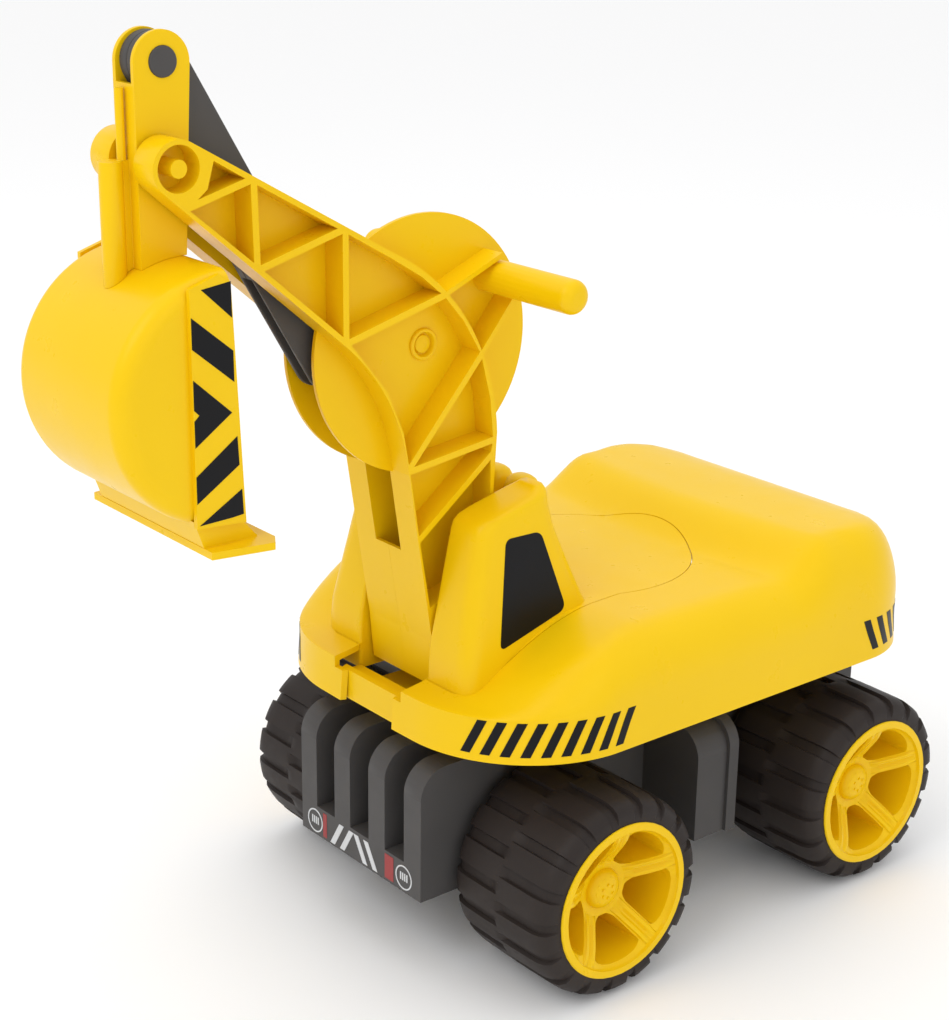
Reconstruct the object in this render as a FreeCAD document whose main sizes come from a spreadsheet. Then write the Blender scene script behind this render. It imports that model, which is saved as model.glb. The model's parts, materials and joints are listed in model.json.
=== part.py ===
import FreeCAD, Part
import math
import os
import Sketcher
from FreeCAD import Placement, Rotation, Vector

# Ride-on toy excavator.  Millimetres, +Z up, the arm reaches towards -Y and the rider's left is +X.
# Every outline is drawn from the point on the ground midway between the axles; one placement then
# moves each piece so that the origin is the bottom centre of the whole toy's box.

DIMENSIONS = {
    "mid_axle_y": 92.0,            # from the origin back to the point midway between the axles
    "wheelbase": 220.0,
    "axle_height": 61.8,
    "axle_radius": 4.0,
    "axle_half_length": 126.0,
    "running_gap": 0.06,
    "tyre_radius": 61.8,
    "tyre_width": 81.8,
    "tyre_centre_x": 104.2,
    "tyre_bore": 47.5,
    "rim_lip_radius": 48.0,
    "rim_lip_x": 42.5,
    "rim_wall": 2.8,
    "hub_radius": 11.0,
    "hub_face_x": 22.0,
    "cap_radius": 12.5,
    "cap_height": 7.0,
    "chassis_half_width": 58.0,
    "chassis_bottom": 50.0,
    "chassis_height": 78.0,
    "chassis_wall": 3.0,
    "grille_front": -191.0,
    "grille_depth": 44.0,
    "grille_rib_width": 16.0,
    "grille_rib_pitch": 34.67,
    "grille_rib_top": 133.0,
    "sill_height": 20.0,
    "step_reach": 108.0,
    "step_front": -12.0,
    "step_length": 33.0,
    "step_band": 8.0,
    "ring_outer": 46.0,
    "ring_inner": 30.0,
    "ring_height": 19.0,
    "bolt_radius": 5.0,
    "bolt_head_radius": 9.0,
    "deck_bottom": 147.0,
    "deck_height": 65.0,
    "deck_half_width": 129.0,
    "deck_wall": 3.5,
    "seat_radius": 72.5,
    "seat_thickness": 3.8,
    "cab_inner_x": 32.5,
    "cab_gap": 0.3,
    "boom_half_width": 30.5,
    "web_inner_x": 12.0,
    "web_thickness": 2.5,
    "base_y": -135.0,
    "base_z": 195.0,
    "base_pin_radius": 6.0,
    "elbow_y": -155.8,
    "elbow_z": 369.8,
    "guard_radius": 73.4,
    "hub_pin_radius": 8.5,
    "hub_core_radius": 5.0,
    "tip_y": -317.6,
    "tip_z": 484.2,
    "tip_boss_radius": 14.4,
    "tip_recess_radius": 11.8,
    "tip_pin_radius": 6.0,
    "handle_y": -110.8,
    "handle_z": 403.9,
    "handle_radius": 9.7,
    "handle_length": 81.0,
    "stick_half_width": 10.1,
    "cheek_thickness": 2.9,
    "head_y": -312.4,
    "head_z": 533.0,
    "head_radius": 15.3,
    "head_pin_radius": 7.7,
    "rod_half_width": 14.4,
    "rod_thickness": 7.0,
    "rod_relief": 4.3,
    "rod_eye_radius": 9.0,
    "crank_half_thickness": 4.0,
    "crank_pin_radius": 4.0,
    "crank_forward": 58.0,
    "crank_drop": 4.0,
    "crank_back": 22.0,
    "crank_rise": 8.0,
    "anchor_forward": 12.0,
    "link_pin_radius": 2.5,
    "link_foot_play": 1.9,
    "link_thickness": 3.0,
    "bowl_y": -304.0,
    "bowl_z": 371.0,
    "bowl_radius": 66.0,
    "bowl_half_width": 52.0,
    "bowl_wall": 3.0,
    "blade_half_width": 55.0,
    "blade_thickness": 3.0,
}

doc = FreeCAD.newDocument("ride_on_excavator")
dims = doc.addObject("Spreadsheet::Sheet", "dims")
for row, (alias, value) in enumerate(DIMENSIONS.items(), start=1):
    dims.set(f"A{row}", alias.replace("_", " "))
    dims.set(f"B{row}", str(value))
    dims.setAlias(f"B{row}", alias)
doc.recompute()

D = {alias: float(dims.get(alias)) for alias in DIMENSIONS}
SUB_PARTS = []


# ---------------------------------------------------------------- helpers

def bind(feature, **expressions):
    """Tie properties to the sheet; a double underscore in a name stands for a dot."""
    for name, expression in expressions.items():
        feature.setExpression(name.replace("__", "."), expression)


def sub_part(feature, node, x="0", y="dims.mid_axle_y", z="0"):
    """Name a finished piece and give it its place."""
    feature.Label = node
    bind(feature, Placement__Base__x=x, Placement__Base__y=y, Placement__Base__z=z)
    SUB_PARTS.append(feature)
    return feature


def new_body(name):
    return doc.addObject("PartDesign::Body", name)


def origin_plane(body, role):
    return next(f for f in body.Origin.OriginFeatures if f.Role == role)


def sketch_on(body, role, level="0"):
    sketch = body.newObject("Sketcher::SketchObject", f"{body.Name}_sketch")
    sketch.AttachmentSupport = [(origin_plane(body, role), "")]
    sketch.MapMode = "FlatFace"
    bind(sketch, AttachmentOffset__Base__z=level)
    return sketch


def draw_outline(sketch, path):
    """Closed outline of corners; an item ("arc", middle, end) is a round stretch to its end."""
    here = path[0]
    for step in list(path[1:]) + [path[0]]:
        if step[0] == "arc":
            start, middle, end = (Vector(p[0], p[1], 0) for p in (here, step[1], step[2]))
            sketch.addGeometry(Part.Arc(start, middle, end), False)
            here = step[2]
        elif step != here:
            sketch.addGeometry(Part.LineSegment(Vector(here[0], here[1], 0), Vector(step[0], step[1], 0)), False)
            here = step


def draw_circle(sketch, centre, radius):
    """Circle whose radius is an expression of the sheet."""
    index = sketch.addGeometry(Part.Circle(Vector(centre[0], centre[1], 0), Vector(0, 0, 1), 5.0), False)
    for axis, value in (("DistanceX", centre[0]), ("DistanceY", centre[1])):
        sketch.addConstraint(Sketcher.Constraint(axis, -1, 1, index, 3, value))
    constraint = sketch.addConstraint(Sketcher.Constraint("Radius", index, 5.0))
    sketch.setExpression(f"Constraints[{constraint}]", radius)


def pad(body, sketch, length, reverse=False):
    feature = body.newObject("PartDesign::Pad", f"{body.Name}_pad")
    feature.Profile = sketch
    feature.Reversed = reverse
    bind(feature, Length=length)
    return feature


def pocket(body, sketch, length, reverse=False):
    """Cut along the sketch's normal reversed unless reverse is set; a cut that removes nothing is an error."""
    doc.recompute()
    before = body.Shape.Volume
    feature = body.newObject("PartDesign::Pocket", f"{body.Name}_pocket")
    feature.Profile = sketch
    feature.Reversed = reverse
    bind(feature, Length=length)
    doc.recompute()
    if body.Shape.Volume > before - 1.0:
        raise RuntimeError(f"a pocket in {body.Label} cuts nothing")
    return feature


def loft(body, sections, subtract=False):
    kind = "PartDesign::SubtractiveLoft" if subtract else "PartDesign::AdditiveLoft"
    feature = body.newObject(kind, f"{body.Name}_loft")
    feature.Profile = sections[0]
    feature.Sections = sections[1:]
    feature.Ruled = True
    return feature


def fillet(body, radius, chooses):
    """Round the edges of the body's tip for which chooses(edge) is true."""
    doc.recompute()
    tip = body.Tip
    names = [f"Edge{i}" for i, edge in enumerate(tip.Shape.Edges, start=1) if chooses(edge)]
    feature = body.newObject("PartDesign::Fillet", f"{body.Name}_fillet")
    feature.Base = (tip, names)
    feature.Radius = radius
    return feature


def cross_cylinder(name, radius, low_x, length, y, z):
    """Part cylinder lying along X."""
    feature = doc.addObject("Part::Cylinder", name)
    bind(feature, Radius=radius, Height=length, Placement__Base__x=low_x, Placement__Base__y=y,
         Placement__Base__z=z)
    feature.Placement.Rotation = Rotation(Vector(0, 1, 0), 90)
    return feature


def combine(kind, name, base, *others):
    """Part boolean: the base with each of the others in turn."""
    result = base
    for number, other in enumerate(others, start=1):
        feature = doc.addObject(kind, f"{name}_{number}")
        first, second = ("Base", "Tool")
        setattr(feature, first, result)
        setattr(feature, second, other)
        result = feature
    return result


def mirrored(source, node):
    """The same moulding on the other side of the centre plane."""
    feature = doc.addObject("Part::Mirroring", node)
    feature.Source = source
    feature.Normal = (1, 0, 0)
    feature.Base = (0, 0, 0)
    return feature


def inset(corners, gap):
    """Corners of a convex outline moved inwards by gap."""
    area = sum(a[0] * b[1] - b[0] * a[1] for a, b in zip(corners, corners[1:] + corners[:1]))
    turn = math.copysign(1.0, area)
    lines = []
    for a, b in zip(corners, corners[1:] + corners[:1]):
        length = math.hypot(b[0] - a[0], b[1] - a[1])
        normal = (-(b[1] - a[1]) / length * turn, (b[0] - a[0]) / length * turn)
        lines.append((normal, normal[0] * a[0] + normal[1] * a[1] + gap))
    moved = []
    for (n1, c1), (n2, c2) in zip(lines[-1:] + lines[:-1], lines):
        det = n1[0] * n2[1] - n1[1] * n2[0]
        moved.append(((c1 * n2[1] - c2 * n1[1]) / det, (n1[0] * c2 - n2[0] * c1) / det))
    return moved


def on_circle(centre, radius, degrees):
    angle = math.radians(degrees)
    return (centre[0] + radius * math.cos(angle), centre[1] + radius * math.sin(angle))


def strap(first, first_radius, second, second_radius):
    """Outline of two round ends joined by their outer tangents."""
    span = math.hypot(second[0] - first[0], second[1] - first[1])
    heading = math.degrees(math.atan2(second[1] - first[1], second[0] - first[0]))
    lean = math.degrees(math.acos((first_radius - second_radius) / span))
    return [
        on_circle(first, first_radius, heading + lean),
        ("arc", on_circle(first, first_radius, heading + 180), on_circle(first, first_radius, heading - lean)),
        on_circle(second, second_radius, heading - lean),
        ("arc", on_circle(second, second_radius, heading), on_circle(second, second_radius, heading + lean)),
    ]


BASE = (D["base_y"], D["base_z"])
ELBOW = (D["elbow_y"], D["elbow_z"])
TIP = (D["tip_y"], D["tip_z"])
HEAD = (D["head_y"], D["head_z"])
ROD_FOOT = (ELBOW[0] - D["crank_forward"], ELBOW[1] - D["crank_drop"])
LINK_HEAD = (ELBOW[0] + D["crank_back"], ELBOW[1] + D["crank_rise"])
LINK_FOOT = (BASE[0] - D["anchor_forward"], BASE[1])


# ---------------------------------------------------------------- chassis

def chassis_frame():
    """Open-bottomed tub with the front grille ribs, the sill, a step on each side and the axle bores."""
    body = new_body("chassis")
    half = D["chassis_half_width"]
    front, rear = D["grille_front"] + D["grille_depth"], 186.0
    tub = sketch_on(body, "XY_Plane", "dims.chassis_bottom")
    draw_outline(tub, [(-half, front), (half, front), (half, rear), (-half, rear)])
    pad(body, tub, "dims.chassis_height")
    sill = sketch_on(body, "XY_Plane", "dims.chassis_bottom")
    draw_outline(sill, [(-half - 2, D["grille_front"]), (half + 2, D["grille_front"]), (half + 2, front), (-half - 2, front)])
    pad(body, sill, "dims.sill_height")
    rib = sketch_on(body, "YZ_Plane", "-1.5 * dims.grille_rib_pitch - dims.grille_rib_width / 2")
    low, high, nose = D["chassis_bottom"] + 1, D["grille_rib_top"], D["grille_front"]
    draw_outline(rib, [(nose, low), (nose, high - 18), ("arc", (nose + 5.3, high - 5.3), (nose + 18, high)),
                       (front + 20, high), (front + 20, high - 7), (front + 1, low)])
    rib_pad = pad(body, rib, "dims.grille_rib_width")
    doc.recompute()
    ribs = body.newObject("PartDesign::LinearPattern", "grille_ribs")
    ribs.Originals = [rib_pad]
    ribs.Direction = (origin_plane(body, "YZ_Plane"), [""])
    bind(ribs, Length="3 * dims.grille_rib_pitch")
    ribs.Occurrences = 4
    body.Tip = ribs
    reach, bottom, top = D["step_reach"], D["chassis_bottom"], 125.0
    for grow, start, length in ((0.0, "dims.step_front", "dims.step_length"),
                                (2.5, "dims.step_front + dims.step_length - dims.step_band", "dims.step_band")):
        for side in (-1, 1):
            step = sketch_on(body, "XZ_Plane", f"-({start})")
            out, roof = side * (reach - 2.5 + grow), top - 2.5 + grow
            draw_outline(step, [(side * (half - 1), bottom), (out, bottom), (out, roof - 18),
                                ("arc", (out - side * 5.3, roof - 5.3), (out - side * 18, roof)), (side * (half - 1), roof)])
            pad(body, step, length, reverse=True)
    hollow = sketch_on(body, "XY_Plane", "dims.chassis_bottom")
    wall = D["chassis_wall"]
    draw_outline(hollow, [(-half + wall, front + wall), (half - wall, front + wall), (half - wall, rear - wall),
                          (-half + wall, rear - wall)])
    draw_circle(hollow, (0.0, 0.0), "dims.bolt_head_radius + 5")
    pocket(body, hollow, "dims.chassis_height - 4", reverse=True)
    bores = sketch_on(body, "YZ_Plane", "-dims.chassis_half_width - 5")
    for side in (-1, 1):
        draw_circle(bores, (side * D["wheelbase"] / 2, D["axle_height"]), "dims.axle_radius + 0.02")
    pocket(body, bores, "2 * dims.chassis_half_width + 10", reverse=True)
    pivot = sketch_on(body, "XY_Plane", "dims.chassis_bottom")
    draw_circle(pivot, (0.0, 0.0), "dims.bolt_radius + dims.running_gap")
    pocket(body, pivot, "dims.chassis_height", reverse=True)
    counterbore = sketch_on(body, "XY_Plane", "dims.chassis_bottom")
    draw_circle(counterbore, (0.0, 0.0), "dims.bolt_head_radius + 1.5")
    pocket(body, counterbore, "dims.chassis_height - 14", reverse=True)
    sub_part(body, "chassis_frame")


def axles():
    for node, side in (("front_axle", "-1"), ("rear_axle", "1")):
        rod = cross_cylinder(node, "dims.axle_radius", "0", "2 * dims.axle_half_length", "0", "0")
        sub_part(rod, node, x="-dims.axle_half_length", y=f"{side} * dims.wheelbase / 2 + dims.mid_axle_y",
                 z="dims.axle_height")


def swivel():
    """Bearing ring on the chassis roof, and the bolt, washer and nut that hold the upper body down on it."""
    body = new_body("ring")
    sketch = sketch_on(body, "XY_Plane", "dims.chassis_bottom + dims.chassis_height")
    draw_circle(sketch, (0.0, 0.0), "dims.ring_outer")
    draw_circle(sketch, (0.0, 0.0), "dims.ring_inner")
    pad(body, sketch, "dims.ring_height")
    sub_part(body, "swivel_ring")
    bolt = new_body("bolt")
    head = sketch_on(bolt, "XY_Plane", "dims.chassis_bottom + dims.chassis_height - 20.3")
    draw_circle(head, (0.0, 0.0), "dims.bolt_head_radius")
    pad(bolt, head, "6")
    shank = sketch_on(bolt, "XY_Plane", "dims.chassis_bottom + dims.chassis_height - 20.3")
    draw_circle(shank, (0.0, 0.0), "dims.bolt_radius")
    pad(bolt, shank, "44")
    sub_part(bolt, "swivel_bolt")
    nut = new_body("nut")
    hexagon = sketch_on(nut, "XY_Plane", "dims.chassis_bottom + dims.chassis_height + dims.ring_height + 4.6")
    draw_outline(hexagon, [on_circle((0, 0), 9.2, 60 * corner) for corner in range(6)])
    draw_circle(hexagon, (0.0, 0.0), "dims.bolt_radius")
    pad(nut, hexagon, "6")
    sub_part(nut, "swivel_nut")


# ---------------------------------------------------------------- wheels

def tyre():
    body = new_body("tyre")
    sketch = sketch_on(body, "XZ_Plane")
    half, outer, bore = D["tyre_width"] / 2, D["tyre_radius"], D["tyre_bore"]
    draw_outline(sketch, [(-half, bore), (half, bore), (half, outer - 9), ("arc", (half - 2.6, outer - 2.6), (half - 9, outer)),
                          (9 - half, outer), ("arc", (2.6 - half, outer - 2.6), (-half, outer - 9))])
    ring = body.newObject("PartDesign::Revolution", "tyre_ring")
    ring.Profile = sketch
    ring.ReferenceAxis = (origin_plane(body, "X_Axis"), [""])
    ring.Angle = 360
    return body


def rim():
    """Deep dish rim: a barrel with an outer lip, a spoked disc with five windows, and the axle tube."""
    body = new_body("rim")
    sketch = sketch_on(body, "XZ_Plane")
    lip_x, lip, bore = D["rim_lip_x"], D["rim_lip_radius"], D["axle_radius"] + D["running_gap"]
    barrel = D["tyre_bore"] - 0.2
    inner = barrel - D["rim_wall"]
    half, face, hub = D["tyre_width"] / 2, D["hub_face_x"], D["hub_radius"]
    draw_outline(sketch, [(-half, bore), (face, bore), (face, hub + 3), (face + 10, inner), (lip_x, inner + 0.8), (lip_x, lip),
                          (half + 0.2, lip), (half + 0.2, barrel), (-half, barrel), (-half, inner), (face + 3, inner),
                          (face - 4, hub + 3), (face - 4, hub), (-half, hub)])
    dish = body.newObject("PartDesign::Revolution", "rim_dish")
    dish.Profile = sketch
    dish.ReferenceAxis = (origin_plane(body, "X_Axis"), [""])
    dish.Angle = 360
    window = sketch_on(body, "YZ_Plane")
    near, far, spread = hub + 6.5, inner - 3.0, 36.0
    corners = [on_circle((0, 0), near, 90 - spread / 1.6), on_circle((0, 0), far, 90 - spread / 1.35)]
    draw_outline(window, [corners[0], corners[1], ("arc", (0, far), (-corners[1][0], corners[1][1])), (-corners[0][0], corners[0][1])])
    cut = pocket(body, window, "dims.rim_lip_x", reverse=True)
    windows = body.newObject("PartDesign::PolarPattern", "rim_windows")
    windows.Originals = [cut]
    windows.Axis = (origin_plane(body, "X_Axis"), [""])
    windows.Angle = 360
    windows.Occurrences = 5
    body.Tip = windows
    return body


def hub_cap():
    """Domed cap over the end of the axle."""
    body = new_body("cap")
    sketch = sketch_on(body, "XZ_Plane", "0")
    face, radius, height = D["hub_face_x"], D["cap_radius"], D["cap_height"]
    draw_outline(sketch, [(face + 0.1, 0), (face + height, 0), ("arc", (face + height - 1.4, radius * 0.62), (face + 3, radius)),
                          (face + 0.1, radius)])
    dome = body.newObject("PartDesign::Revolution", "cap_dome")
    dome.Profile = sketch
    dome.ReferenceAxis = (origin_plane(body, "X_Axis"), [""])
    dome.Angle = 360
    return body


def wheels():
    """Four wheels; those on the right are mirror images, so that each dish faces outwards."""
    makers = {"tyre": tyre, "rim": rim, "hub_cap": hub_cap}
    for piece, maker in makers.items():
        for end, along in (("front", -1), ("rear", 1)):
            place_y = f"{along} * dims.wheelbase / 2 + dims.mid_axle_y"
            left = maker()
            sub_part(left, f"{piece}_{end}_left", x="dims.tyre_centre_x", y=place_y, z="dims.axle_height")
            source = maker()
            right = mirrored(source, f"{piece}_{end}_right")
            sub_part(right, f"{piece}_{end}_right", x="-dims.tyre_centre_x", y=place_y, z="dims.axle_height")


# ---------------------------------------------------------------- upper body

def deck_outline(shrink, front, rear):
    """Plan of the deck: nearly flat nose, wide rounded shoulders, straight sides and round rear corners."""
    half = D["deck_half_width"] - shrink
    nose, side = half * 0.36, front + half * 0.62
    corner = 60.0 - shrink * 0.5
    right = [(nose, front), ("arc", (half * 0.80, front + half * 0.19), (half, side)), (half, rear - corner),
             ("arc", on_circle((half - corner, rear - corner), corner, 45), (half - corner, rear))]
    left = [(corner - half, rear), ("arc", on_circle((corner - half, rear - corner), corner, 135), (-half, rear - corner)),
            (-half, side), ("arc", (-half * 0.80, front + half * 0.19), (-nose, front))]
    return right + left


DECK_BOTTOM, DECK_TOP = D["deck_bottom"], D["deck_bottom"] + D["deck_height"]
DECK_LEVELS = [(DECK_BOTTOM, 0.0, -186.0, 177.0), (170.0, 1.5, -184.0, 176.0), (196.0, 8.0, -133.0, 173.0),
               (DECK_TOP, 26.0, -98.0, 163.0)]


def deck_loft(body, inwards=0.0, subtract=False):
    """Loft through the deck's plan at each level; inwards moves every wall and the roof in by that much."""
    sections = []
    for number, (level, shrink, front, rear) in enumerate(DECK_LEVELS):
        drop = 0.0 if number == 0 else inwards
        sketch = sketch_on(body, "XY_Plane", str(level - drop - (0.5 if inwards and number == 0 else 0.0)))
        draw_outline(sketch, deck_outline(shrink + inwards, front + inwards, rear - inwards))
        sections.append(sketch)
    return loft(body, sections, subtract)


def insert_outline(gap):
    """Plan of the cab insert: a cab base each side of the boom's slot, opening into the round seat pad."""
    radius, centre = D["seat_radius"] + gap, (0.0, -22.0)
    inner, outer, front = D["cab_inner_x"] - gap, 70.0 + gap, -166.0 - gap
    join = math.degrees(math.asin((-48.0 - centre[1]) / radius))
    right = [(inner, -92.0 + gap), (inner, front), (outer - 17, front), ("arc", (outer - 4.6, front + 5.4), (outer - 1.5, front + 19)),
             (outer, -92.0), on_circle(centre, radius, join)]
    left = [on_circle(centre, radius, 180 - join), (-outer, -92.0), (1.5 - outer, front + 19),
            ("arc", (4.6 - outer, front + 5.4), (17 - outer, front)), (-inner, front), (-inner, -92.0 + gap)]
    return right + [("arc", on_circle(centre, radius, 90), left[0])] + left[1:]


def upper_body():
    """Yellow deck shell: skirt, sloping front, seat deck and rear bolster, open below, with the boom's notch."""
    body = new_body("deck")
    deck_loft(body)
    bolster = sketch_on(body, "XY_Plane", str(DECK_TOP - 1))
    outer = deck_outline(27, 20, 161)
    draw_outline(bolster, [(60, 95), (outer[2][0], 80), outer[2], outer[3], outer[4], outer[5], (-outer[2][0], 80), (-60, 95)])
    pad(body, bolster, "24")
    fillet(body, 9.0, lambda edge: edge.BoundBox.ZMin > DECK_TOP + 20 and edge.Length > 20)
    deck_loft(body, D["deck_wall"], subtract=True)
    floor = sketch_on(body, "XY_Plane", "dims.chassis_bottom + dims.chassis_height + dims.ring_height + 0.2")
    across = D["deck_half_width"] - 1
    draw_outline(floor, [(-across, -112), (across, -112), (across, 70), (-across, 70)])
    draw_circle(floor, (0.0, 0.0), "dims.bolt_radius")
    pad(body, floor, "4.3")
    well = sketch_on(body, "XY_Plane", "151.5")
    draw_outline(well, insert_outline(D["cab_gap"]))
    pocket(body, well, "100", reverse=True)
    notch = sketch_on(body, "XY_Plane", "151.5")
    draw_outline(notch, [(-32.5, -176), (32.5, -176), (32.5, -90), (-32.5, -90)])
    pocket(body, notch, "70", reverse=True)
    lowered = sketch_on(body, "XY_Plane", "166")
    draw_outline(lowered, [(-25, -190), (25, -190), (25, -175), (-25, -175)])
    pocket(body, lowered, "60", reverse=True)
    recessed = sketch_on(body, "XY_Plane", str(DECK_BOTTOM - 1))
    draw_outline(recessed, [(-24, -190), (24, -190), (20, -180), (-20, -180)])
    pocket(body, recessed, "30", reverse=True)
    sub_part(body, "upper_body")


def cab_outline(inner_x, outer_x, front, rear, side, shrink):
    """Plan of one cab, moved in all round by shrink, with its two outer corners rounded."""
    inner, outer = inner_x + shrink, outer_x - shrink
    front, rear = front + shrink, rear - shrink
    fore, aft = 14.0 - shrink, 9.0 - shrink
    return [(side * inner, front), (side * (outer - fore), front),
            ("arc", (side * (outer - fore * 0.293), front + fore * 0.293), (side * outer, front + fore)),
            (side * outer, rear - aft),
            ("arc", (side * (outer - aft * 0.293), rear - aft * 0.293), (side * (outer - aft), rear)),
            (side * inner, rear)]


CAB_LEVELS = [(155.5, 68.5, -164.5, -60.0), (212.0, 66.5, -161.5, -69.0), (266.0, 60.0, -150.0, -91.0),
              (287.5, 56.0, -124.0, -99.0)]


def cab_insert():
    """Seat disc and the two cabs moulded together, with the wall and the two humps behind the boom's slot."""
    body = new_body("cabs")
    top = DECK_TOP
    disc = sketch_on(body, "XY_Plane", str(top - 4.0))
    draw_circle(disc, (0.0, -22.0), "dims.seat_radius")
    pad(body, disc, "dims.seat_thickness")
    slot = sketch_on(body, "XY_Plane", str(top - 10))
    draw_outline(slot, [(-32.5, -96), (32.5, -96), (32.5, -88), (-32.5, -88)])
    pocket(body, slot, "40", reverse=True)
    for side in (-1, 1):
        for shrink, subtract in ((0.0, False), (3.0, True)):
            sections = []
            for level, outer_x, front, rear in CAB_LEVELS:
                sketch = sketch_on(body, "XY_Plane", str(level - shrink))
                draw_outline(sketch, cab_outline(D["cab_inner_x"], outer_x, front, rear, side, shrink))
                sections.append(sketch)
            loft(body, sections, subtract)
    wall = sketch_on(body, "XY_Plane", "dims.chassis_bottom + dims.chassis_height + dims.ring_height + 4.6")
    draw_outline(wall, [(-34, -88), (34, -88), (34, -84), (-34, -84)])
    pad(body, wall, "112")
    for side in (-1, 1):
        hump = sketch_on(body, "XY_Plane", str(top - 3))
        draw_circle(hump, (side * 12.0, -78.0), "9.5")
        pad(body, hump, "69")
        fillet(body, 6.0, lambda edge: edge.BoundBox.ZMin > top + 65 and edge.BoundBox.YMax > -72 and side * edge.BoundBox.Center.x > 0)
    bores = sketch_on(body, "YZ_Plane", "-60")
    draw_circle(bores, BASE, "dims.base_pin_radius")
    pocket(body, bores, "120", reverse=True)
    panes = [cab_window(side) for side in (1, -1)]
    sub_part(combine("Part::Cut", "insert_glazed", body, *panes), "cab_insert")
    for node, pane in zip(("window_left", "window_right"), panes):
        copy = doc.addObject("Part::Compound", node)
        copy.Links = [pane]
        sub_part(copy, node)


def cab_window(side):
    """Dark pane let into the cab's leaning outer side."""
    pane = new_body("pane")
    sketch = sketch_on(pane, "YZ_Plane")
    draw_outline(sketch, [(-139, 199), (-89, 213), (-105, 261), (-130, 261)])
    pad(pane, sketch, "1.2", reverse=side < 0)
    doc.recompute()
    lean = math.degrees(math.atan2(6.5, 54.0))
    pivot = Vector(side * 66.5, 0, 212)
    pane.Placement = Placement(pivot, Rotation(Vector(0, 1, 0), -side * lean)) * Placement(Vector(0, 0, -212), Rotation())
    return pane


def boom_mount():
    """Base pin between the cabs, and the hook behind it that holds the control link's lower pin."""
    stubs = [cross_cylinder("base_stub", "dims.base_pin_radius", low, "27", "dims.base_y", "dims.base_z")
             for low in ("dims.cab_inner_x - 22", "-dims.cab_inner_x - 5")]
    pair = doc.addObject("Part::Compound", "boom_base_pin")
    pair.Links = stubs
    sub_part(pair, "boom_base_pin")
    hook = new_body("hook")
    sketch = sketch_on(hook, "YZ_Plane", "-dims.crank_half_thickness")
    y, z = BASE
    floor = D["chassis_bottom"] + D["chassis_height"] + D["ring_height"] + 4.6
    foot_y, foot_z = LINK_FOOT
    draw_outline(sketch, [(foot_y - 5.5, foot_z), ("arc", (foot_y, foot_z + 5.5), (foot_y + 5.0, foot_z - 1.5)), (y - 5, z - 8), (y + 24, z - 8),
                          (y + 41, z - 12), (y + 41, floor), (y + 30, floor), (y + 30, z - 21), (y - 4, z - 21), (foot_y - 4, foot_z - 14)])
    pad(hook, sketch, "2 * dims.crank_half_thickness")
    bore = sketch_on(hook, "YZ_Plane", "-dims.crank_half_thickness - 1")
    draw_circle(bore, LINK_FOOT, "dims.link_pin_radius")
    pocket(hook, bore, "2 * dims.crank_half_thickness + 2", reverse=True)
    sub_part(hook, "link_anchor")
    pin = cross_cylinder("foot_pin", "dims.link_pin_radius", "0", "16.5", "0", "0")
    place_pin(pin, "link_lower_pin", "-5", "dims.base_y - dims.anchor_forward", "dims.base_z")


def place_pin(pin, node, x, y, z):
    pin.setExpression("Placement.Base.x", None)
    sub_part(pin, node, x=x, y=f"{y} + dims.mid_axle_y", z=z)


# ---------------------------------------------------------------- boom

def boom_outline():
    """Side view of one boom half: sloping upper arm, round elbow, upright leg and round foot."""
    tip_radius = D["tip_boss_radius"]
    top_edge, front_edge = 60.7, 229.6
    return [
        on_circle(TIP, tip_radius, top_edge), (-187.1, 427.3), ("arc", (-137.4, 384.5), (-113.9, 315.0)), (-116.4, 273.0),
        (-111.0, 205.0), ("arc", (-117.5, 176.0), (-136.0, 167.0)), (-157.2, 167.0), (-160.3, 197.0),
        (-171.3, 264.1), (-177.0, 300.9),
        ("arc", (-190.2, 344.0), (-219.2, 380.8)), on_circle(TIP, tip_radius, front_edge),
        ("arc", on_circle(TIP, tip_radius, 145.0), on_circle(TIP, tip_radius, top_edge)),
    ]


def boom_cells():
    """The pockets between the truss ribs; each is a convex outline between rib and flange middles."""
    crown, chin = (-151.5, 400.5), (-178.5, 303.0)
    shoulder, heel = (-125.0, 364.0), (-114.8, 311.0)
    rib_a_top, rib_a_foot = (-219.2, 444.2), (-219.2, 382.5)
    rib_c_foot, rib_d_top = (-273.8, 429.0), (-275.0, 475.5)
    rib_e_foot, shin, knee = (-316.0, 464.0), (-171.5, 260.2), (-116.5, 303.0)
    cells = [
        [(-299.0, 489.3), rib_d_top, rib_e_foot, (-303.5, 474.0)],
        [rib_e_foot, rib_d_top, rib_c_foot],
        [rib_d_top, rib_a_top, rib_c_foot],
        [rib_c_foot, rib_a_top, rib_a_foot],
        [rib_a_top, (-187.5, 426.0), (-168.0, 414.0), crown, rib_a_foot],
        [rib_a_foot, crown, (-138.0, 385.0), shoulder, chin, (-183.0, 326.0), (-194.0, 351.0)],
        [shoulder, (-117.5, 336.0), heel, chin],
        [chin, heel, knee, shin],
        [shin, knee, (-116.4, 273.0), (-114.0, 232.0), (-163.5, 216.0)],
    ]
    return [inset(cell, 1.9) for cell in cells]


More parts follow.
